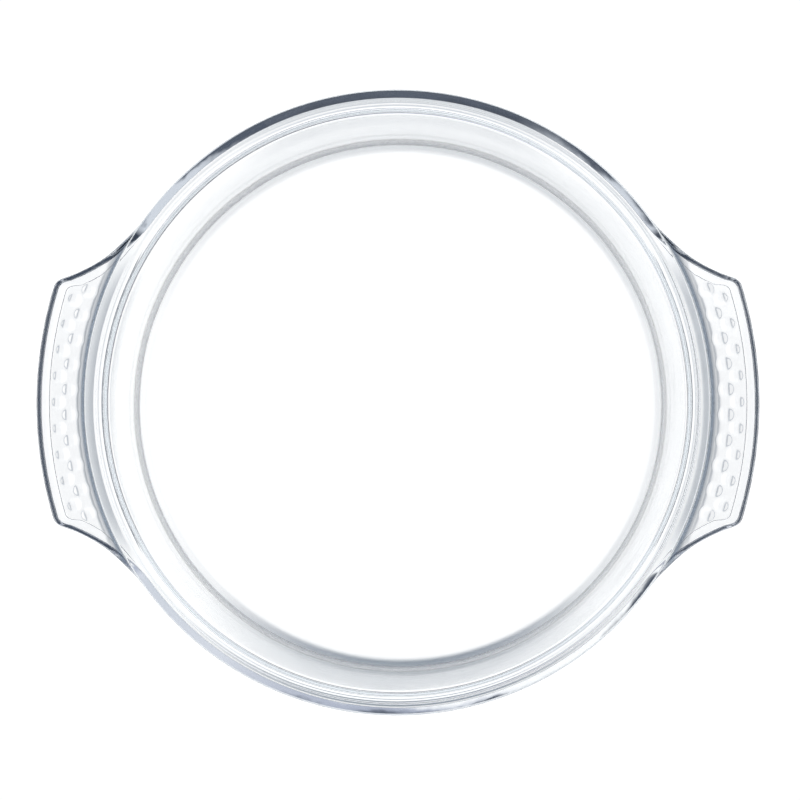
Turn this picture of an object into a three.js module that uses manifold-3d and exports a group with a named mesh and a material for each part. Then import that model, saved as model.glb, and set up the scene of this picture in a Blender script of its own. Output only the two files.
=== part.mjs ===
// A round casserole dish of clear pressed glass, with a dotted grip handle on each side.
// Millimetres, +Z up. The origin is on the table, under the middle of the bowl.

import * as THREE from "three";
import { mergeVertices } from "three/addons/utils/BufferGeometryUtils.js";
import Module from "manifold-3d";

// The bowl
const RIM_RADIUS = 120.5; // outside of the collar, the widest ring of the bowl
const HEIGHT = 72; // table to the top of the lip
const WALL = 5; // thickness of the side wall, measured level
const BOTTOM = 5.5; // thickness of the bottom, over the foot
const DRAFT = THREE.MathUtils.degToRad(6.2); // lean of the wall, which lets the dish leave its mould
const INNER_CORNER = 14; // radius between the bottom and the wall, inside
const HEEL = 5; // radius between the wall and the foot, outside

// The flat-topped lip, the step inside it and the collar under it
const LIP_WIDTH = 6.8;
const LIP_SETBACK = 0.4; // how far the lip lies inside the collar
const LIP_INNER_ROUND = 2.2;
const LIP_OUTER_ROUND = 0.5;
const LEDGE_WIDTH = 1.3;
const LEDGE_DEPTH = 5.5; // top of the lip to the step
const LEDGE_ROUND = 0.4;
const COLLAR_BEVEL = 2.7; // how far the bevel under the collar's edge reaches in
const SHOULDER = 1.4; // radius between the collar's underside and the wall
const BEVEL_ANGLE = THREE.MathUtils.degToRad(49); // slope of the bevels under collar and handles
const BEVEL_ROUND = 0.25;

// The foot, a flat ring round a shallow hollow
const FOOT_WIDTH = 11;
const FOOT_HOLLOW = 0.8;

// The handles
const HANDLE_LENGTH = 19.3; // collar to the outer edge of a handle
const HANDLE_EDGE_ARC = 155; // radius of that edge, seen from above
const HANDLE_CORNER = 5; // radius of its corners, seen from above
const HANDLE_FLARE = 68; // radius of the hollow curve from a corner back to the bowl
const FLARE_ANGLE = THREE.MathUtils.degToRad(36.7); // handle's middle to where that curve meets the bowl
const HANDLE_DROP = 8; // top of the lip to the top of a handle
const HANDLE_THICKNESS = 5;
const HANDLE_ROUND = 0.8; // radius of the handle's top edge
const HANDLE_BEVEL = 1.6; // how far the bevel under that edge reaches in
const HANDLE_TIP = 0.8; // width at which the narrow ends of a handle stop
const SEAM = 0.3; // clearance between the handles and the bowl
const ROOT_RISE = 4; // how far the handle climbs the collar
const ROOT_RUN = 0.6; // lean of that climb
const ROOT_ROUND = 4;

// The bead that turns down along the edge of a handle
const BEAD_WIDTH = 4.6;
const BEAD_DROP = 2;
const BEAD_ROUND = 0.3;
const BEAD_FADE = 9; // width of handle over which the bead grows to its full depth

// The grip dots, in two staggered rows that follow the bowl
const DOT_RADIUS = 2.7;
const DOT_HEIGHT = 1.3;
const DOT_SINK = 0.5; // how far a dot is rooted in the handle
const DOT_PITCH = 9.8; // from dot to dot along the inner row
const DOT_COUNT = 10; // dots in the inner row; the outer row has one fewer
const DOT_ROW_INSET = 6.5; // collar to the middle of the inner row
const DOT_ROW_GAP = 4; // inner row to outer row

// Fineness of the facets
const AROUND = 72;
const ARC_STEPS = 3;
const EDGE_STEPS = 6;
const CORNER_STEPS = 3;
const FLARE_STEPS = 6;
const DOT_SIDES = 10;
const DOT_STEPS = 2;

const GLASS = { color: 0xeaf2f5, roughness: 0.05, metalness: 0, transparent: true, opacity: 0.35 };

const wasm = await Module();
wasm.setup();

function toSolid(geometry) {
  const bare = geometry.clone();
  bare.deleteAttribute("normal");
  bare.deleteAttribute("uv");
  const merged = mergeVertices(bare);
  const vertProperties = new Float32Array(merged.attributes.position.array);
  const triVerts = new Uint32Array(merged.index.array);
  return new wasm.Manifold(new wasm.Mesh({ numProp: 3, vertProperties, triVerts }));
}

function toGeometry(solid) {
  const { vertProperties, triVerts } = solid.getMesh();
  const geometry = new THREE.BufferGeometry();
  geometry.setAttribute("position", new THREE.BufferAttribute(vertProperties, 3));
  geometry.setIndex(new THREE.BufferAttribute(triVerts, 1));
  geometry.computeVertexNormals();
  return geometry;
}

// Turns a list of [x, y, radius] corners into points, with an arc at each corner that has a radius.
function roundCorners(corners, closed) {
  return corners.flatMap(([x, y, radius = 0], i) => {
    const at = new THREE.Vector2(x, y);
    const isEnd = !closed && (i === 0 || i === corners.length - 1);
    if (radius === 0 || isEnd) return [at];
    const towards = (step) => {
      const [nx, ny] = corners[(i + step + corners.length) % corners.length];
      return new THREE.Vector2(nx, ny).sub(at).normalize();
    };
    const back = towards(-1);
    const ahead = towards(1);
    const half = Math.acos(THREE.MathUtils.clamp(back.dot(ahead), -1, 1)) / 2;
    const middle = back.clone().add(ahead).normalize();
    const centre = at.clone().addScaledVector(middle, radius / Math.sin(half));
    const sweep = (Math.PI - 2 * half) * Math.sign(back.cross(ahead));
    const start = at.clone().addScaledVector(back, radius / Math.tan(half)).sub(centre);
    return Array.from({ length: ARC_STEPS + 1 }, (_, k) =>
      start.clone().rotateAround(new THREE.Vector2(), (-sweep * k) / ARC_STEPS).add(centre));
  });
}

// Levels and radii that the bowl and the handles share
const handleTop = HEIGHT - HANDLE_DROP;
const handleUnder = handleTop - HANDLE_THICKNESS;
const collarTop = handleTop + ROOT_RISE;
const lipOuter = RIM_RADIUS - LIP_SETBACK;
const lipInner = lipOuter - LIP_WIDTH;
const ledgeInner = lipInner - LEDGE_WIDTH;
const ledgeLevel = HEIGHT - LEDGE_DEPTH;
const handleRoot = RIM_RADIUS + SEAM;
const handleReach = RIM_RADIUS + HANDLE_LENGTH;
const bevelRise = (run) => run * Math.tan(BEVEL_ANGLE);

// The bowl is one profile turned about the middle, from the inside of the bottom over the lip to the foot.
function bowl() {
  const innerAt = (z) => ledgeInner - (ledgeLevel - z) * Math.tan(DRAFT);
  const outerAt = (z) => innerAt(z) + WALL;
  const footOuter = outerAt(0) - HEEL * Math.tan((Math.PI / 2 - DRAFT) / 2);
  const footInner = footOuter - FOOT_WIDTH;
  const profile = roundCorners([
    [0, BOTTOM],
    [innerAt(BOTTOM), BOTTOM, INNER_CORNER],
    [ledgeInner, ledgeLevel, LEDGE_ROUND],
    [lipInner, ledgeLevel, LEDGE_ROUND],
    [lipInner, HEIGHT, LIP_INNER_ROUND],
    [lipOuter, HEIGHT, LIP_OUTER_ROUND],
    [lipOuter, collarTop, LIP_SETBACK / 2],
    [RIM_RADIUS, collarTop, LIP_SETBACK / 2],
    [RIM_RADIUS, handleUnder + bevelRise(COLLAR_BEVEL), BEVEL_ROUND],
    [RIM_RADIUS - COLLAR_BEVEL, handleUnder, BEVEL_ROUND],
    [outerAt(handleUnder), handleUnder, SHOULDER],
    [outerAt(0), 0, HEEL],
    [footInner, 0],
    [footInner - FOOT_HOLLOW, FOOT_HOLLOW],
    [0, FOOT_HOLLOW],
  ]);
  return new THREE.LatheGeometry(profile.reverse(), AROUND).rotateX(Math.PI / 2);
}

// The outline of a handle seen from above, as three circles that touch: its edge, a corner and the flare.
function handleOutline() {
  const edge = { centre: new THREE.Vector2(handleReach - HANDLE_EDGE_ARC, 0), radius: HANDLE_EDGE_ARC };
  const flareDistance = RIM_RADIUS + HANDLE_FLARE;
  const flare = {
    centre: new THREE.Vector2(flareDistance, 0).rotateAround(new THREE.Vector2(), FLARE_ANGLE),
    radius: HANDLE_FLARE,
  };
  const toFlare = flare.centre.clone().sub(edge.centre);
  const fromEdge = HANDLE_EDGE_ARC - HANDLE_CORNER;
  const fromFlare = HANDLE_FLARE + HANDLE_CORNER;
  const along = (fromEdge ** 2 - fromFlare ** 2 + toFlare.lengthSq()) / (2 * toFlare.length());
  const aside = -Math.sqrt(fromEdge ** 2 - along ** 2);
  const fromEdgeCentre = new THREE.Vector2(along, aside).rotateAround(new THREE.Vector2(), toFlare.angle());
  const corner = { centre: fromEdgeCentre.add(edge.centre), radius: HANDLE_CORNER };
  return { edge, corner, flare };
}

// Where a ray from the middle of the bowl crosses a circle: its far side, or with side -1 its near side.
function crossing({ centre, radius }, angle, side) {
  const along = centre.x * Math.cos(angle) + centre.y * Math.sin(angle);
  return along + side * Math.sqrt(radius ** 2 - centre.lengthSq() + along ** 2);
}

// The angle at which the outer circle of a pair touches the inner one
function touchAngle(from, towards, distance) {
  return towards.clone().sub(from).setLength(distance).add(from).angle();
}

// The reach of the handle at each angle of one half, from its middle to its narrow end
function handleStations() {
  const { edge, corner, flare } = handleOutline();
  const edgeEnd = touchAngle(edge.centre, corner.centre, edge.radius);
  const cornerEnd = touchAngle(corner.centre, flare.centre, corner.radius);
  const tip = handleRoot + HANDLE_TIP;
  const flareDistance = flare.centre.length();
  const tipCosine = (flareDistance ** 2 + tip ** 2 - flare.radius ** 2) / (2 * tip * flareDistance);
  const flareEnd = FLARE_ANGLE - Math.acos(tipCosine);
  const stretch = (circle, side, from, to, steps) =>
    Array.from({ length: steps }, (_, k) => {
      const angle = THREE.MathUtils.lerp(from, to, (k + 1) / steps);
      return { angle, reach: crossing(circle, angle, side) };
    });
  return [
    { angle: 0, reach: handleReach },
    ...stretch(edge, 1, 0, edgeEnd, EDGE_STEPS),
    ...stretch(corner, 1, edgeEnd, cornerEnd, CORNER_STEPS),
    ...stretch(flare, -1, cornerEnd, flareEnd, FLARE_STEPS),
  ];
}

// The section of a handle, cut upright from the collar out to its edge
function handleSection(reach) {
  const width = reach - handleRoot;
  const third = width / 3;
  const run = Math.min(ROOT_RUN, third);
  const bevel = Math.min(HANDLE_BEVEL, third);
  const bead = Math.min(BEAD_WIDTH, 2 * third);
  const drop = BEAD_DROP * Math.min(1, width / BEAD_FADE);
  const limit = (radius) => Math.min(radius, bevel / 3, drop / 3);
  return roundCorners([
    [handleRoot, collarTop],
    [handleRoot + run, handleTop, Math.min(ROOT_ROUND, third)],
    [reach, handleTop, Math.min(HANDLE_ROUND, third)],
    [reach, handleUnder - drop + bevelRise(bevel), limit(BEVEL_ROUND)],
    [reach - bevel, handleUnder - drop, limit(BEAD_ROUND)],
    [reach - bead, handleUnder - drop, limit(BEAD_ROUND)],
    [reach - bead, handleUnder, limit(BEAD_ROUND)],
    [handleRoot, handleUnder],
  ], true);
}

// Skins a row of like sections, each a closed loop turned to its own angle, and closes both ends.
function skin(stations) {
  const loops = stations.map(({ reach }) => handleSection(reach));
  const count = loops[0].length;
  const positions = stations.flatMap(({ angle }, i) =>
    loops[i].flatMap(({ x, y }) => [x * Math.cos(angle), x * Math.sin(angle), y]));
  const index = [];
  for (let i = 0; i + 1 < stations.length; i++) {
    for (let k = 0; k < count; k++) {
      const a = i * count + k;
      const b = i * count + ((k + 1) % count);
      index.push(a, b, a + count, b, b + count, a + count);
    }
  }
  const last = (stations.length - 1) * count;
  const cap = (loop) => THREE.ShapeUtils.triangulateShape(loop, []);
  for (const [a, b, c] of cap(loops[0])) {
    index.push(a, b, c);
  }
  for (const [a, b, c] of cap(loops.at(-1))) {
    index.push(last + a, last + c, last + b);
  }
  const geometry = new THREE.BufferGeometry();
  geometry.setAttribute("position", new THREE.Float32BufferAttribute(positions, 3));
  geometry.setIndex(index);
  return geometry;
}

// One grip dot, a low dome with a short root below it
function dot() {
  const ball = (DOT_RADIUS ** 2 + DOT_HEIGHT ** 2) / (2 * DOT_HEIGHT);
  const sweep = Math.asin(DOT_RADIUS / ball);
  const dome = Array.from({ length: DOT_STEPS + 1 }, (_, k) => {
    const angle = (sweep * k) / DOT_STEPS;
    return new THREE.Vector2(ball * Math.sin(angle), ball * Math.cos(angle) - ball + DOT_HEIGHT);
  });
  const root = [new THREE.Vector2(DOT_RADIUS, -DOT_SINK), new THREE.Vector2(0, -DOT_SINK)];
  return new THREE.LatheGeometry([...dome, ...root].reverse(), DOT_SIDES).rotateX(Math.PI / 2);
}

// A handle that points along +X, with its dots
function handle() {
  const half = handleStations();
  const mirrored = half.slice(1).reverse().map(({ angle, reach }) => ({ angle: -angle, reach }));
  let solid = toSolid(skin([...mirrored, ...half]));
  const innerRow = RIM_RADIUS + DOT_ROW_INSET;
  const rows = [
    { radius: innerRow, count: DOT_COUNT },
    { radius: innerRow + DOT_ROW_GAP, count: DOT_COUNT - 1 },
  ];
  for (const { radius, count } of rows) {
    for (let i = 0; i < count; i++) {
      const turn = ((i - (count - 1) / 2) * DOT_PITCH) / innerRow;
      solid = solid.add(toSolid(dot().translate(radius, 0, handleTop).rotateZ(turn)));
    }
  }
  return toGeometry(solid);
}

const dish = new THREE.Group();

function addPart(name, geometry, turn) {
  const mesh = new THREE.Mesh(geometry, new THREE.MeshStandardMaterial(GLASS));
  mesh.name = name;
  mesh.rotation.z = turn;
  dish.add(mesh);
}

addPart("bowl", bowl(), 0);
addPart("right_handle", handle(), 0);
addPart("left_handle", handle(), Math.PI);

export default dish;
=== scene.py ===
# %% [markdown]
# # A clear glass casserole dish
# The dish is one pressing of clear glass: a round bowl, a thick lip with a ledge inside it, and a flat
# handle on each side with two rows of grip dots. Glass shows no colour of its own. What the eye reads is
# how the surface bends the white floor and the darker room, so this lesson spends its effort on one closed,
# smooth mesh with true wall thicknesses, and on a plain set that gives the glass something to bend.

# %% Load the frame
import bpy
import numpy as np
from mathutils import Matrix, Vector


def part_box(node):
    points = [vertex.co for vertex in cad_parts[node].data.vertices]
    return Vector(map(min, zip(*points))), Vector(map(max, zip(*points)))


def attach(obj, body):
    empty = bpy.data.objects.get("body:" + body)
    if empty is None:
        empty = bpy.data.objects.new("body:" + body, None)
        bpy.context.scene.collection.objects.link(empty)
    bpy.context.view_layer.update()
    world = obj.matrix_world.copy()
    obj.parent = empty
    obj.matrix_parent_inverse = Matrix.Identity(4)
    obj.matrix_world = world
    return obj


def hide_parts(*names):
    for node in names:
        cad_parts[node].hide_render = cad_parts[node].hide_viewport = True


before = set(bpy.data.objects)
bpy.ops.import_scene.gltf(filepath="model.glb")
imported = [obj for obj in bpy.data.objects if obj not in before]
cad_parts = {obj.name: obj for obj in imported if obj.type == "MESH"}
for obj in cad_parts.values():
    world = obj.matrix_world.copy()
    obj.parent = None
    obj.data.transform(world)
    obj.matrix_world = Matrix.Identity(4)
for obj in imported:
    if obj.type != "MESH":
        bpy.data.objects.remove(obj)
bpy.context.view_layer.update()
print("frame nodes:", sorted(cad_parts))

# %% [markdown]
# ## Sizes
# The bowl's radius and height and the handles' reach come from the frame, so the glass stays as large as
# the solids it stands for. The rest are the mould's own sizes, in metres.

# %% Sizes of the bowl
bowl_low, bowl_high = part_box("bowl")
handle_low, handle_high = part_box("right_handle")
RIM_RADIUS = bowl_high[0]
HEIGHT = bowl_high[2]
WALL = 0.005
BOTTOM = 0.0055
DRAFT = np.radians(6.2)
INNER_CORNER = 0.014
HEEL = 0.005
LIP_WIDTH = 0.0068
LIP_SETBACK = 0.0004
LIP_INNER_ROUND = 0.0022
LIP_OUTER_ROUND = 0.0005
LEDGE_WIDTH = 0.0013
LEDGE_DEPTH = 0.0055
LEDGE_ROUND = 0.0004
COLLAR_BEVEL = 0.0027
COLLAR_BEAD = 0.0029
COLLAR_DROP = 0.0001
COLLAR_NOSE = 0.0002
COLLAR_ROOT = 0.00018
SHOULDER = 0.0014
FOOT_WIDTH = 0.011
FOOT_HOLLOW = 0.0008
FOOT_ROUND = 0.0006
print(f"rim {2 * RIM_RADIUS:.3f} m across, {HEIGHT:.3f} m high")

# %% Sizes of the handles
HANDLE_REACH = handle_high[0]
HANDLE_EDGE_ARC = 0.155
HANDLE_CORNER = 0.005
HANDLE_FLARE = 0.068
FLARE_ANGLE = np.radians(36.7)
HANDLE_DROP = 0.008
HANDLE_THICKNESS = 0.005
HANDLE_ROUND = 0.0008
HANDLE_BEVEL = 0.0016
HANDLE_SHOULDER = 0.0018
HANDLE_GROWTH = 0.007
COLLAR_RISE = 0.004
ROOT_ROUND = 0.0045
BEAD_WIDTH = 0.0046
BEAD_DROP = 0.002
BEAD_ROUND = 0.0003
COLLAR_SLOPE = np.tan(np.radians(49))
HANDLE_SLOPE = np.tan(np.radians(50))
BEVEL_ROUND = 0.00025
handle_top = HEIGHT - HANDLE_DROP
handle_under = handle_top - HANDLE_THICKNESS
print(f"handles reach {HANDLE_REACH:.4f} m from the middle")

# %% [markdown]
# ## How far out the glass reaches
# Seen from above, a handle's outline is three circles that touch: a wide arc along its edge, a small round
# corner and a hollow flare that runs back into the bowl. A modeller could draw that outline as a curve and
# extrude it. Here it is worked out as one number for each angle round the bowl, because then bowl and
# handles can be a single sweep with no seam between them.

# %% The outline as a reach for each angle
def handle_circles():
    """The three circles of the outline of the handle that points along +X, as (centre, radius)."""
    edge = np.array([HANDLE_REACH - HANDLE_EDGE_ARC, 0.0])
    flare = (RIM_RADIUS + HANDLE_FLARE) * np.array([np.cos(FLARE_ANGLE), np.sin(FLARE_ANGLE)])
    across = flare - edge
    distance = np.hypot(*across)
    along = np.array(across) / distance
    aside = np.array([along[1], -along[0]])
    from_edge = HANDLE_EDGE_ARC - HANDLE_CORNER
    from_flare = HANDLE_FLARE + HANDLE_CORNER
    run = (from_edge**2 - from_flare**2 + distance**2) / (2 * distance)
    corner = edge + run * along + np.sqrt(from_edge**2 - run**2) * aside
    return (edge, HANDLE_EDGE_ARC), (corner, HANDLE_CORNER), (flare, HANDLE_FLARE)


def crossing(circle, angle, side):
    """Where rays from the middle at these angles cross a circle: far side (1) or near side (-1)."""
    (x, y), radius = circle
    along = x * np.cos(angle) + y * np.sin(angle)
    return along + side * np.sqrt(np.maximum(radius**2 - x**2 - y**2 + along**2, 0))


def touch_angle(start, towards, distance):
    """The angle, seen from the middle, of the point where two of the circles touch."""
    line = towards - start
    point = start + line / np.hypot(*line) * distance
    return np.arctan2(point[1], point[0])


edge, corner, flare = handle_circles()
EDGE_END = touch_angle(edge[0], corner[0], edge[1])
CORNER_END = touch_angle(corner[0], flare[0], corner[1])


def reach_at(angle):
    """How far the glass reaches from the middle of the bowl, for each angle from the +X axis."""
    turn = np.abs((angle + np.pi / 2) % np.pi - np.pi / 2)
    reach = np.full_like(turn, RIM_RADIUS)
    stretches = [
        (turn < FLARE_ANGLE, flare, -1),
        (turn < CORNER_END, corner, 1),
        (turn < EDGE_END, edge, 1),
    ]
    for here, circle, side in stretches:
        reach = np.where(here, crossing(circle, np.where(here, turn, 0), side), reach)
    return reach


print(f"corners at {np.degrees(EDGE_END):.1f} to {np.degrees(CORNER_END):.1f} degrees")

# %% [markdown]
# ## The section of the glass
# Cut from the middle outwards, the dish is one closed outline: along the bottom, up the wall, over the
# ledge and the lip, out along the handle or the low collar, back under it, down the wall and in along the
# foot. A Screw modifier would turn a fixed outline. The handles make this one change with the angle, so
# NumPy works out all the sections at once, each with the same number of points.

# %% Angles round the bowl, closest where the grip dots are
FINE_END = np.radians(22.5)
FINE_STEPS, FLARE_STEPS, PLAIN_STEPS = 164, 20, 80


def angles_round():
    """Angles of the sections, once round from the middle of the right handle's lower half."""
    flare_end = FLARE_ANGLE + np.radians(1)
    half = np.concatenate([
        np.linspace(-FINE_END, FINE_END, FINE_STEPS, endpoint=False),
        np.linspace(FINE_END, flare_end, FLARE_STEPS, endpoint=False),
        np.linspace(flare_end, np.pi - flare_end, PLAIN_STEPS, endpoint=False),
        np.linspace(np.pi - flare_end, np.pi - FINE_END, FLARE_STEPS, endpoint=False),
    ])
    return np.concatenate([half, half + np.pi])


around = angles_round()
print(len(around), "sections")

# %% Corners of the section, with their radii
SLANT_LIMIT = 2.4
BEAD_ROUND_SHARE = 0.45


def blend(low, high, share):
    return low + (high - low) * share


def inner_at(z):
    return RIM_RADIUS - LIP_SETBACK - LIP_WIDTH - LEDGE_WIDTH - (HEIGHT - LEDGE_DEPTH - z) * np.tan(DRAFT)


def outer_at(z):
    return inner_at(z) + WALL


def slant_at(reach):
    """How much longer a step along the radius is than one square to the outline."""
    steps = np.gradient(np.concatenate([around[-1:] - 2 * np.pi, around, around[:1] + 2 * np.pi]))[1:-1]
    change = (np.roll(reach, -1) - np.roll(reach, 1)) / (2 * steps)
    return np.minimum(np.hypot(1, change / reach), SLANT_LIMIT)


def section_corners(reach):
    """Corners as (radius from the middle, height, rounding, points in the arc, points after it)."""
    share = np.clip((reach - RIM_RADIUS) / HANDLE_GROWTH, 0, 1)
    share = share * share * (3 - 2 * share)
    lip_outer = RIM_RADIUS - LIP_SETBACK
    lip_inner = lip_outer - LIP_WIDTH
    ledge = HEIGHT - LEDGE_DEPTH
    top = handle_top + blend(COLLAR_RISE, 0, share)
    drop = blend(COLLAR_DROP, BEAD_DROP, share)
    bead_round = np.minimum(BEAD_ROUND, drop * BEAD_ROUND_SHARE)
    root = blend(COLLAR_ROOT, ROOT_ROUND, share)
    nose = blend(COLLAR_NOSE, HANDLE_ROUND, share)
    run = blend(COLLAR_BEVEL, HANDLE_BEVEL, share)
    rise = run * blend(COLLAR_SLOPE, HANDLE_SLOPE, share)
    shoulder = blend(SHOULDER, HANDLE_SHOULDER, share)
    shoulder_end = outer_at(handle_under) + shoulder * np.tan((np.pi / 2 - DRAFT) / 2)
    skew = slant_at(reach)
    bead_in = np.maximum(reach - blend(COLLAR_BEAD, BEAD_WIDTH, share) * skew, shoulder_end + bead_round)
    bevel_in = np.maximum(reach - run * skew, bead_in + 2 * bead_round)
    foot_outer = outer_at(0) - HEEL * np.tan((np.pi / 2 - DRAFT) / 2)
    foot_inner = foot_outer - FOOT_WIDTH
    return [
        (0, BOTTOM, 0, 0, 8),
        (inner_at(BOTTOM), BOTTOM, INNER_CORNER, 12, 8),
        (lip_inner - LEDGE_WIDTH, ledge, LEDGE_ROUND, 4, 2),
        (lip_inner, ledge, LEDGE_ROUND, 4, 2),
        (lip_inner, HEIGHT, LIP_INNER_ROUND, 6, 2),
        (lip_outer, HEIGHT, LIP_OUTER_ROUND, 6, 2),
        (lip_outer, top, root, 8, 26),
        (reach, top, nose, 6, 2),
        (reach, handle_under - drop + rise, BEVEL_ROUND, 3, 2),
        (bevel_in, handle_under - drop, bead_round, 3, 0),
        (bead_in, handle_under - drop, bead_round, 3, 0),
        (bead_in, handle_under, bead_round, 3, 6),
        (outer_at(handle_under), handle_under, shoulder, 8, 6),
        (outer_at(0), 0, HEEL, 10, 3),
        (foot_inner, 0, FOOT_ROUND, 2, 0),
        (foot_inner - 2 * FOOT_HOLLOW, FOOT_HOLLOW, FOOT_ROUND, 2, 6),
        (0, FOOT_HOLLOW, 0, 0, 0),
    ]


print(len(section_corners(reach_at(around))), "corners in each section")

# %% From corners to rows of points
FLAT_END = 0.04


def unit(vectors):
    return vectors / np.linalg.norm(vectors, axis=-1, keepdims=True)


def arc_points(before, at, after, radius, steps):
    """The rounding of one corner, for every section at once."""
    back, ahead = unit(before - at), unit(after - at)
    half = np.arccos(np.clip((back * ahead).sum(-1), -1, 1)) / 2
    centre = at + unit(back + ahead) * (radius / np.sin(half))[:, None]
    start = at + back * (radius / np.tan(half))[:, None] - centre
    turn = np.sign(back[:, 1] * ahead[:, 0] - back[:, 0] * ahead[:, 1]) * (np.pi - 2 * half)
    angle = turn[:, None] * np.linspace(0, 1, steps + 1)
    x = start[:, :1] * np.cos(angle) - start[:, 1:] * np.sin(angle)
    z = start[:, :1] * np.sin(angle) + start[:, 1:] * np.cos(angle)
    return centre[:, None] + np.stack([x, z], -1)


def line_points(start, end, count):
    """Points between two ends. The outermost lie close to the ends, which keeps the shading of flats flat."""
    share = np.linspace(FLAT_END, 1 - FLAT_END, count)
    return start[:, None] + (end - start)[:, None] * share[:, None]


def section_rows(reach):
    """All sections as an array: section, point, (radius, height)."""
    rows = section_corners(reach)
    full = np.ones_like(reach)
    corners = [np.stack([r * full, z * full], -1) for r, z, _, _, _ in rows]
    arcs = []
    for i, (_, _, rounding, steps, _) in enumerate(rows):
        if steps:
            arcs.append(arc_points(corners[i - 1], corners[i], corners[i + 1], rounding * full, steps))
        else:
            arcs.append(corners[i][:, None])
    parts = []
    for i, arc in enumerate(arcs):
        parts.append(arc)
        if i + 1 < len(arcs):
            parts.append(line_points(arc[:, -1], arcs[i + 1][:, 0], rows[i][4]))
    return np.concatenate(parts, axis=1)


sections = section_rows(reach_at(around))
print("points in a section:", sections.shape[1])

# %% [markdown]
# ## One closed skin
# Neighbouring sections are joined by four-sided faces, and the first and last point of every section is the
# same point on the axis, so the skin is closed. Its faces run so that their normals point out of the glass,
# which is what tells the renderer where glass begins and ends.

# %% Skin the sections
def skin(sections, angles):
    """Vertices and faces of the closed skin over all sections."""
    inner = sections[:, 1:-1]
    columns, rows = inner.shape[:2]
    x = inner[..., 0] * np.cos(angles)[:, None]
    y = inner[..., 0] * np.sin(angles)[:, None]
    points = np.stack([x, y, inner[..., 1]], -1).reshape(-1, 3)
    poles = [[0, 0, sections[0, 0, 1]], [0, 0, sections[0, -1, 1]]]
    top_pole, foot_pole = len(points), len(points) + 1
    faces = []
    for i in range(columns):
        here, there = i * rows, (i + 1) % columns * rows
        faces.append((top_pole, here, there))
        faces.extend((here + k, here + k + 1, there + k + 1, there + k) for k in range(rows - 1))
        faces.append((here + rows - 1, foot_pole, there + rows - 1))
    return np.concatenate([points, poles]), faces


def mesh_object(name, points, faces):
    mesh = bpy.data.meshes.new(name)
    mesh.from_pydata([tuple(p) for p in points], [], faces)
    mesh.polygons.foreach_set("use_smooth", np.ones(len(faces), dtype=bool))
    made = bpy.data.objects.new(name, mesh)
    bpy.context.scene.collection.objects.link(made)
    return made


dish = mesh_object("casserole_dish", *skin(sections, around))
print("faces in the skin:", len(dish.data.polygons))

# %% [markdown]
# ## A small language for nodes
# Node trees are easier to read as sums. `Value` wraps one output socket, and its operators add Math nodes.
# `Board` wraps a tree, and its one method makes any other node: settings first, then values or links.

# %% Helpers for node trees
class Value:
    """One output socket of a node tree, ready for sums."""

    def __init__(self, board, socket):
        self.board = board
        self.socket = socket

    def math(self, operation, *others):
        return self.board.node("ShaderNodeMath", {"operation": operation}, dict(enumerate(others)))

    def __add__(self, other):
        return self.math("ADD", self, other)

    def __sub__(self, other):
        return self.math("SUBTRACT", self, other)

    def __rsub__(self, other):
        return self.math("SUBTRACT", other, self)

    def __mul__(self, other):
        return self.math("MULTIPLY", self, other)

    def __truediv__(self, other):
        return self.math("DIVIDE", self, other)

    __radd__ = __add__
    __rmul__ = __mul__


class Board:
    """A node tree, with one method that makes any node."""

    def __init__(self, tree):
        self.tree = tree
        tree.nodes.clear()

    def node(self, kind, settings=None, inputs=None, output=0):
        made = self.tree.nodes.new(kind)
        for name, setting in (settings or {}).items():
            setattr(made, name, setting)
        for key, value in (inputs or {}).items():
            if isinstance(value, Value):
                self.tree.links.new(value.socket, made.inputs[key])
            else:
                made.inputs[key].default_value = value
        return Value(self, made.outputs[output] if made.outputs else None)


def smooth(board, value, low, high):
    """0 below the low edge and 1 above the high one, with a soft step between."""
    return board.node("ShaderNodeMapRange", {"interpolation_type": "SMOOTHSTEP"}, {
        "Value": value, "From Min": low, "From Max": high})


def band(board, value, inner, outer):
    """1 between two soft edges and 0 on both sides of them."""
    return smooth(board, value, *inner) * (1 - smooth(board, value, *outer))


def mixed(board, share, low, high):
    """A colour between two others."""
    return board.node("ShaderNodeMix", {"data_type": "RGBA"}, {"Factor": share, 6: low, 7: high}, output=2)


def ramp(board, value, stops):
    """A colour read off a row of stops, for a value from -1 to 1."""
    made = board.node("ShaderNodeValToRGB", {}, {"Fac": 0.5 + 0.5 * value})
    elements = made.socket.node.color_ramp.elements
    for place, colour in stops[1:-1]:
        elements.new(0.5 + 0.5 * place).color = (*colour, 1)
    elements[0].color = (*stops[0][1], 1)
    elements[-1].color = (*stops[-1][1], 1)
    return made


# %% [markdown]
# ## Clear pressed glass
# The glass is colourless but for a faint cool tint that gathers where light runs a long way inside it, at
# the lip and the handles' edges. A mould leaves it slightly uneven, so a soft bump bends what is seen
# through it, and the gloss varies a little. The heel is left satin, and the inner corner a little, because
# polished ones draw a hard dark circle round the bottom. The fillet at each handle's root has painted
# shade: a grey-blue colour that stands for the dark band of bent light seen there. All are masks on Object
# coordinates, so they stay put from every side.

# %% The glass material
GLASS_IOR = 1.49
GLASS_CLEAR = ((0.985, 0.99, 0.992, 1), (0.995, 0.997, 0.997, 1))
GLASS_DEPTH = (0.72, 0.80, 0.87, 1)
GLASS_DENSITY = 10.0
MOULD_WAVE = 9.0
MOULD_GRAIN = 42.0
GRAIN_SHARE = 0.25
BUMP_STRENGTH = 0.06
BUMP_DEPTH = 0.002
POLISH = 0.004
POLISH_CHANGE = 0.006
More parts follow.
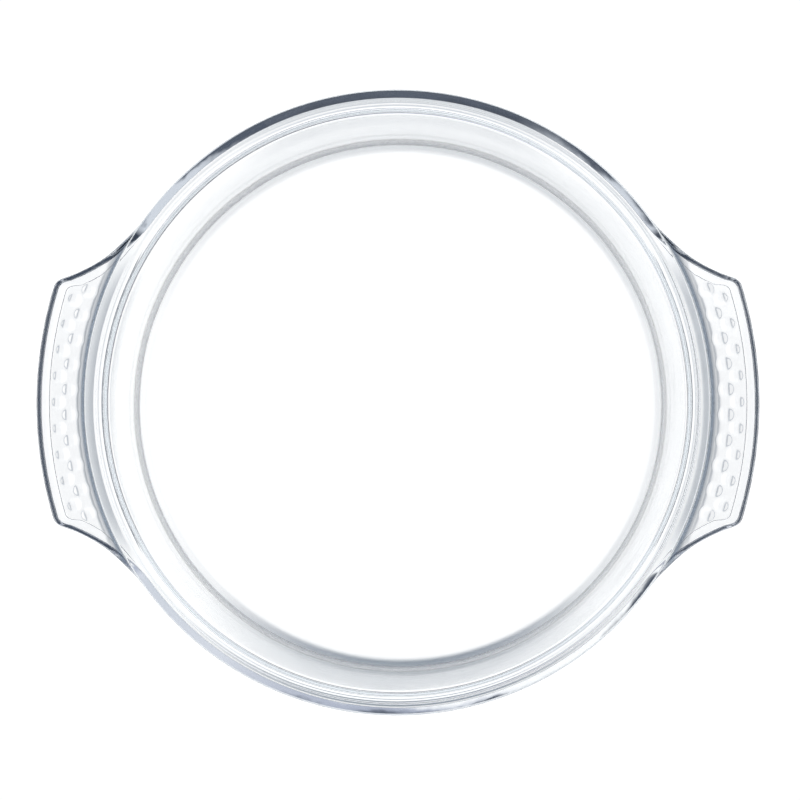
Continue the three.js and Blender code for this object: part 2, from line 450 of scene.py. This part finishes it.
# Painted shade: the grey-blue colour painted on each handle's root fillet stands for the dark band of bent
# light there.
ROOT_PAINTED_SHADE = (0.075, 0.10, 0.14, 1)
ROOT_START = (0.1198, 0.1212)
ROOT_END = (0.1218, 0.1250)
ROOT_LEVEL = (0.0630, 0.0638)
ROOT_SIDE = (0.80, 0.87)
HEEL_OUT = (0.1049, 0.1054)
HEEL_TOP = (0.008, 0.017)
HEEL_SATIN = 0.28
CORNER_OUT = (0.094, 0.100)
CORNER_TOP = (0.016, 0.022)
CORNER_SATIN = 0.10


def clear_glass():
    material = bpy.data.materials.new("clear_pressed_glass")
    material.use_nodes = True
    board = Board(material.node_tree)
    place = board.node("ShaderNodeTexCoord", output="Object")
    wave = board.node("ShaderNodeTexNoise", {}, {"Vector": place, "Scale": MOULD_WAVE, "Detail": 2.0})
    grain = board.node("ShaderNodeTexNoise", {}, {"Vector": place, "Scale": MOULD_GRAIN, "Detail": 3.0})
    bump = board.node("ShaderNodeBump", {}, {
        "Height": wave + GRAIN_SHARE * grain, "Strength": BUMP_STRENGTH, "Distance": BUMP_DEPTH})
    clear = mixed(board, wave, *GLASS_CLEAR)
    east = board.node("ShaderNodeSeparateXYZ", {}, {0: place}, output="X")
    level = board.node("ShaderNodeSeparateXYZ", {}, {0: place}, output="Z")
    flat = board.node("ShaderNodeVectorMath", {"operation": "MULTIPLY"}, {0: place, 1: (1, 1, 0)})
    out = board.node("ShaderNodeVectorMath", {"operation": "LENGTH"}, {0: flat}, output="Value")
    side = east.math("ABSOLUTE", east / out)
    # Painted shade on the handle roots: a ring at the fillet, on the top and beside the handles only.
    ring = band(board, out, ROOT_START, ROOT_END)
    upper = smooth(board, level, *ROOT_LEVEL) * smooth(board, side, *ROOT_SIDE)
    clear_with_painted_root_shade = mixed(board, ring * upper, clear, ROOT_PAINTED_SHADE)
    upright = out - float(np.tan(DRAFT)) * level
    heel = smooth(board, upright, *HEEL_OUT) * (1 - smooth(board, level, *HEEL_TOP))
    corner = smooth(board, upright, *CORNER_OUT) * (1 - smooth(board, level, *CORNER_TOP))
    rough = POLISH + POLISH_CHANGE * grain + HEEL_SATIN * heel + CORNER_SATIN * corner
    glass = board.node("ShaderNodeBsdfPrincipled", {}, {
        "Base Color": clear_with_painted_root_shade, "Roughness": rough, "IOR": GLASS_IOR, "Transmission Weight": 1.0, "Normal": bump})
    depth = board.node("ShaderNodeVolumeAbsorption", {}, {"Color": GLASS_DEPTH, "Density": GLASS_DENSITY})
    board.node("ShaderNodeOutputMaterial", {}, {"Surface": glass, "Volume": depth})
    return material


glass = clear_glass()
print("material:", glass.name)

# %% [markdown]
# ## Grip dots
# Two staggered rows of low domes follow the bowl on each handle. Separate domes would leave glass inside
# glass, which bends light wrongly. So Geometry Nodes lays out one point for each dot, measures how far each
# vertex of the skin is from its nearest point, and lifts the vertices that lie within a dot's radius. The
# same tree leaves the slight waves that pressing leaves in a thick wall.

# %% The geometry tree for the dots
DOT_PITCH = 0.0098
DOT_CROWN = 0.8
DOT_ROW = RIM_RADIUS + 0.0065
DOT_INPUTS = {
    "Dot Radius": ("NodeSocketFloat", 0.0027),
    "Dot Height": ("NodeSocketFloat", 0.0013),
    "Row Radius": ("NodeSocketFloat", DOT_ROW),
    "Row Gap": ("NodeSocketFloat", 0.004),
    "Pitch Angle": ("NodeSocketFloat", DOT_PITCH / DOT_ROW),
    "Inner Dots": ("NodeSocketInt", 10),
    "Level": ("NodeSocketFloat", handle_top),
    "Ripple Height": ("NodeSocketFloat", 0.00012),
    "Ripple Scale": ("NodeSocketFloat", 28.0),
    "Ripple Seed": ("NodeSocketFloat", 3.0),
}


def dot_row(board, count, radius, pitch, level):
    """Points along one arc, centred on the +X axis."""
    index = board.node("GeometryNodeInputIndex")
    angle = (index - (count - 1) * 0.5) * pitch
    place = board.node("ShaderNodeCombineXYZ", {}, {
        "X": radius * angle.math("COSINE", angle), "Y": radius * angle.math("SINE", angle), "Z": level})
    return board.node("GeometryNodePoints", {}, {"Count": count, "Position": place})


def grip_dot_tree():
    tree = bpy.data.node_groups.new("grip_dots", "GeometryNodeTree")
    tree.interface.new_socket("Geometry", in_out="INPUT", socket_type="NodeSocketGeometry")
    sockets = {}
    for name, (kind, default) in DOT_INPUTS.items():
        socket = tree.interface.new_socket(name, in_out="INPUT", socket_type=kind)
        socket.default_value = default
        sockets[name] = socket.identifier
    tree.interface.new_socket("Geometry", in_out="OUTPUT", socket_type="NodeSocketGeometry")
    board = Board(tree)
    entry = tree.nodes.new("NodeGroupInput")
    given = {socket.name: Value(board, socket) for socket in entry.outputs if socket.name}
    inner = dot_row(board, given["Inner Dots"], given["Row Radius"], given["Pitch Angle"], given["Level"])
    outer = dot_row(board, given["Inner Dots"] - 1, given["Row Radius"] + given["Row Gap"],
                    given["Pitch Angle"], given["Level"])
    rows = board.node("GeometryNodeJoinGeometry")
    join = rows.socket.node
    tree.links.new(inner.socket, join.inputs[0])
    tree.links.new(outer.socket, join.inputs[0])
    opposite = board.node("GeometryNodeTransform", {}, {"Geometry": rows, "Rotation": (0, 0, np.pi)})
    both = board.node("GeometryNodeJoinGeometry")
    tree.links.new(rows.socket, both.socket.node.inputs[0])
    tree.links.new(opposite.socket, both.socket.node.inputs[0])
    near = board.node("GeometryNodeProximity", {"target_element": "POINTS"}, {0: both}, output="Distance")
    share = near / given["Dot Radius"]
    inside = (1 - share * share).math("MAXIMUM", 1 - share * share, 0.0)
    lift = given["Dot Height"] * inside.math("POWER", inside, DOT_CROWN)
    raised = board.node("ShaderNodeCombineXYZ", {}, {"Z": lift})
    dotted = board.node("GeometryNodeSetPosition", {}, {"Geometry": given["Geometry"], "Offset": raised})
    noise = board.node("ShaderNodeTexNoise", {"noise_dimensions": "4D"}, {
        "Scale": given["Ripple Scale"], "W": given["Ripple Seed"], "Detail": 1.0})
    normal = board.node("GeometryNodeInputNormal")
    push = board.node("ShaderNodeVectorMath", {"operation": "SCALE"}, {
        0: normal, "Scale": (noise - 0.5) * given["Ripple Height"]})
    rippled = board.node("GeometryNodeSetPosition", {}, {"Geometry": dotted, "Offset": push})
    real = board.node("GeometryNodeRealizeInstances", {}, {"Geometry": rippled})
    finished = board.node("GeometryNodeSetMaterial", {}, {"Geometry": real, "Material": glass})
    leave = tree.nodes.new("NodeGroupOutput")
    tree.links.new(finished.socket, leave.inputs[0])
    return tree, sockets


dot_tree, dot_sockets = grip_dot_tree()
print("inputs of the dot tree:", ", ".join(dot_sockets))

# %% Press the dots and keep the result as a plain mesh
def press(piece, tree, sockets, sizes):
    """Runs the tree on a piece and puts the result in the piece's own mesh."""
    modifier = piece.modifiers.new("press", "NODES")
    modifier.node_group = tree
    for name, (_, size) in sizes.items():
        modifier[sockets[name]] = size
    depsgraph = bpy.context.evaluated_depsgraph_get()
    pressed = bpy.data.meshes.new_from_object(piece.evaluated_get(depsgraph))
    piece.modifiers.remove(modifier)
    pressed.name = piece.name
    piece.data = pressed


press(dish, dot_tree, dot_sockets, DOT_INPUTS)
print("triangles:", sum(len(p.vertices) - 2 for p in dish.data.polygons))

# %% Set the dish in the frame
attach(dish, "root")
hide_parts("bowl", "left_handle", "right_handle")
print("dish stands for the bowl and both handles")

# %% [markdown]
# ## The set
# Clear glass is photographed against light: a white floor shines through it, and darker things at the
# sides draw its edges. So the floor is white to the camera. To rays that the glass bends it also shows
# painted shadows, soft grey rings under the heel, the lip and the handles, and painted dark and pale fields
# farther out, which stand for a studio round the dish. It still takes the dish's soft shadow from the lamp.

# %% The floor
FLOOR_RADIUS = 1.5
FLOOR_DROP = 0.0003
WHITE = (1, 1, 1, 1)
FLOOR_PAINT = (0.35, 0.35, 0.35, 1)
ROOM_DARK = (0.04, 0.05, 0.07, 1)
# Painted shadows on the floor, seen only by rays through the glass: a contact-shadow ring under the heel,
# deepest on the -Y side.
SHADE_COLOUR = (0.12, 0.16, 0.21, 1)
SHADE_DEPTH = [(-1, 0.95), (-0.93, 0.85), (-0.7, 0.26), (-0.3, 0.12), (0.3, 0.12), (0.7, 0.34), (1, 0.42)]
SHADE_EAST = 0.11
SHADE_INNER = (0.1042, 0.1085)
SHADE_OUTER = (0.116, 0.125)
SHADE_LEAN = 0.0005
# Painted shadow of the handles on the floor: a grey ring beside the bowl, then a lighter veil.
GRIP_DEPTH = 0.65
GRIP_SIDE = (0.84, 0.95)
GRIP_INNER = (0.119, 0.124)
GRIP_OUTER = (0.125, 0.131)
GRIP_VEIL = 0.17
VEIL_END = (0.143, 0.150)
# Painted dark and pale fields farther out on the floor, seen only through the glass, stand in for the dark
# and lit sides of a studio.
FAR_EDGE = (0.160, 0.200)
FAR_COLOURS = [
    (-1.0, (0.02, 0.025, 0.035)), (-0.9, (0.02, 0.025, 0.035)), (-0.76, (0.72, 0.75, 0.80)),
    (-0.5, (0.72, 0.75, 0.80)), (-0.4, (0.05, 0.06, 0.07)), (0.2, (0.02, 0.025, 0.035)),
    (0.5, (0.70, 0.73, 0.78)), (0.85, (0.80, 0.82, 0.88)), (1.0, (0.50, 0.53, 0.63)),
]
BEYOND_EDGE = (0.293, 0.317)
BEYOND_EAST = 0.078
BEYOND_NORTH = 0.09
HALF_EDGE = (-0.2, 0.2)
# Painted shadow under the lip and collar, on the +Y side of the floor.
LIP_SHADE = 0.5
LIP_INNER = (0.117, 0.121)
LIP_OUTER = (0.127, 0.134)
NORTH_EDGE = (0.8, 0.95)


def white_floor():
    material = bpy.data.materials.new("white_floor")
    material.use_nodes = True
    board = Board(material.node_tree)
    path = board.node("ShaderNodeLightPath").socket.node
    camera, glossy, through = [Value(board, path.outputs[name]) for name in
                               ("Is Camera Ray", "Is Glossy Ray", "Is Transmission Ray")]
    place = board.node("ShaderNodeTexCoord", output="Object")
    out = board.node("ShaderNodeVectorMath", {"operation": "LENGTH"}, {0: place}, output="Value")
    north = board.node("ShaderNodeSeparateXYZ", {}, {0: place}, output="Y") / out
    east = board.node("ShaderNodeSeparateXYZ", {}, {0: place}, output="X") / out
    # Painted contact shadow under the heel, deeper to the -Y side and a little deeper to +X.
    inner = smooth(board, out, SHADE_INNER[0] + SHADE_LEAN * north, SHADE_INNER[1] + SHADE_LEAN * north)
    outer = 1 - smooth(board, out, *SHADE_OUTER)
    depth = ramp(board, north, [(stop, (share, share, share)) for stop, share in SHADE_DEPTH])
    near = mixed(board, inner * outer * (depth + SHADE_EAST * east), WHITE, SHADE_COLOUR)
    # Painted shadow just outside the lip, on the +Y side.
    under_lip = band(board, out, LIP_INNER, LIP_OUTER)
    near = mixed(board, LIP_SHADE * under_lip * smooth(board, north, *NORTH_EDGE), near, SHADE_COLOUR)
    # Painted shadow of the handles beside the bowl, with a lighter veil farther out.
    beside = smooth(board, east.math("ABSOLUTE", east), *GRIP_SIDE)
    grip = GRIP_DEPTH * band(board, out, GRIP_INNER, GRIP_OUTER)
    veil = GRIP_VEIL * band(board, out, GRIP_OUTER, VEIL_END)
    near = mixed(board, beside * (grip + veil), near, SHADE_COLOUR)
    # Painted room: dark and pale fields farther out, in place of a studio round the dish.
    far = ramp(board, north, FAR_COLOURS)
    reach = out - BEYOND_EAST * east + BEYOND_NORTH * smooth(board, north, *HALF_EDGE)
    farther = mixed(board, smooth(board, reach, *BEYOND_EDGE), far, ROOM_DARK)
    away = smooth(board, out, *FAR_EDGE)
    bent = mixed(board, away, near, farther)
    colour = mixed(board, camera, bent, WHITE)
    shown = camera.math("MAXIMUM", camera, glossy.math("MAXIMUM", glossy, through))
    paint = board.node("ShaderNodeBsdfDiffuse", {}, {"Color": mixed(board, away, FLOOR_PAINT, ROOM_DARK)})
    glow = board.node("ShaderNodeEmission", {}, {"Color": colour, "Strength": shown})
    both = board.node("ShaderNodeAddShader", {}, {0: paint, 1: glow})
    board.node("ShaderNodeOutputMaterial", {}, {"Surface": both})
    return material


def floor_disc():
    angles = np.linspace(0, 2 * np.pi, 96, endpoint=False)
    points = [(FLOOR_RADIUS * np.cos(a), FLOOR_RADIUS * np.sin(a), -FLOOR_DROP) for a in angles]
    disc = mesh_object("floor", points, [tuple(range(len(points)))])
    disc.data.materials.append(white_floor())
    return disc


floor = floor_disc()
print("floor radius:", FLOOR_RADIUS)

# %% The room and the lamp
WALL_COLOURS = [
    (-1.0, (0.40, 0.43, 0.48)), (-0.85, (0.45, 0.48, 0.53)), (-0.6, (0.78, 0.80, 0.84)),
    (0.6, (0.78, 0.80, 0.84)), (0.85, (0.50, 0.53, 0.62)), (1.0, (0.48, 0.51, 0.60)),
]
WALL_FOOT = (0.04, 0.10)
WALL_HEAD = (0.50, 0.75)
DOME_LIGHT = 1.2
DOME_EDGE = (0.6, 0.85)


def room():
    world = bpy.data.worlds.new("room")
    bpy.context.scene.world = world
    world.use_nodes = True
    board = Board(world.node_tree)
    path = board.node("ShaderNodeLightPath").socket.node
    camera = Value(board, path.outputs["Is Camera Ray"])
    spread = Value(board, path.outputs["Diffuse Depth"])
    lighting = spread.math("GREATER_THAN", spread, 0.5)
    place = board.node("ShaderNodeTexCoord", output="Generated")
    height = board.node("ShaderNodeSeparateXYZ", {}, {0: place}, output="Z")
    north = board.node("ShaderNodeSeparateXYZ", {}, {0: place}, output="Y")
    upright = smooth(board, height, *WALL_FOOT) * (1 - smooth(board, height, *WALL_HEAD))
    walls = mixed(board, upright, ROOM_DARK, ramp(board, north, WALL_COLOURS))
    cap = smooth(board, height, *DOME_EDGE) * DOME_LIGHT
    dome = board.node("ShaderNodeCombineColor", {}, {0: cap, 1: cap, 2: cap})
    shade = mixed(board, camera, mixed(board, lighting, walls, dome), WHITE)
    back = board.node("ShaderNodeBackground", {}, {"Color": shade, "Strength": 1.0})
    board.node("ShaderNodeOutputWorld", {}, {"Surface": back})


def softbox(name, place, size, power):
    lamp = bpy.data.lights.new(name, "AREA")
    lamp.shape = "DISK"
    lamp.size = size
    lamp.energy = power
    made = bpy.data.objects.new(name, lamp)
    made.location = place
    made.rotation_euler = (-Vector(place)).to_track_quat("-Z", "Y").to_euler()
    bpy.context.scene.collection.objects.link(made)


room()
softbox("overhead", (0.2, 0.5, 1.2), 0.9, 1.0)

# %% [markdown]
# ## The camera
# The photograph looks almost straight down, from a little to the right and in front, which shows more of
# the far wall than of the near one. The picture is 800 pixels wide and the rim is 626 pixels across.

# %% Place the camera
PICTURE = 800
RIM_PIXELS = 625.8
MEASURED_RIM = 0.240
RIM_MIDDLE = (396.5, 401.6)
CAMERA_RISE = 1.2
CAMERA_OFFSET = (0.029, -0.029)


def place_camera():
    scale = MEASURED_RIM / RIM_PIXELS
    aim = Vector(((PICTURE / 2 - RIM_MIDDLE[0]) * scale, (RIM_MIDDLE[1] - PICTURE / 2) * scale, HEIGHT))
    eye = Vector((*CAMERA_OFFSET, HEIGHT + CAMERA_RISE))
    back = (eye - aim).normalized()
    right = Vector((0, 1, 0)).cross(back).normalized()
    data = bpy.data.cameras.new("camera")
    data.sensor_width = 36
    data.lens = data.sensor_width * (eye - aim).length / (PICTURE * scale)
    made = bpy.data.objects.new("camera", data)
    turn = Matrix((right, back.cross(right), back)).transposed().to_4x4()
    made.matrix_world = Matrix.Translation(eye) @ turn
    bpy.context.scene.collection.objects.link(made)
    bpy.context.scene.camera = made
    return made


camera = place_camera()
print(f"lens {camera.data.lens:.1f} mm")

# %% Picture settings
scene = bpy.context.scene
scene.view_settings.view_transform = "Standard"
scene.cycles.max_bounces = 32
scene.cycles.transmission_bounces = 32
scene.cycles.glossy_bounces = 16
print("view transform:", scene.view_settings.view_transform)
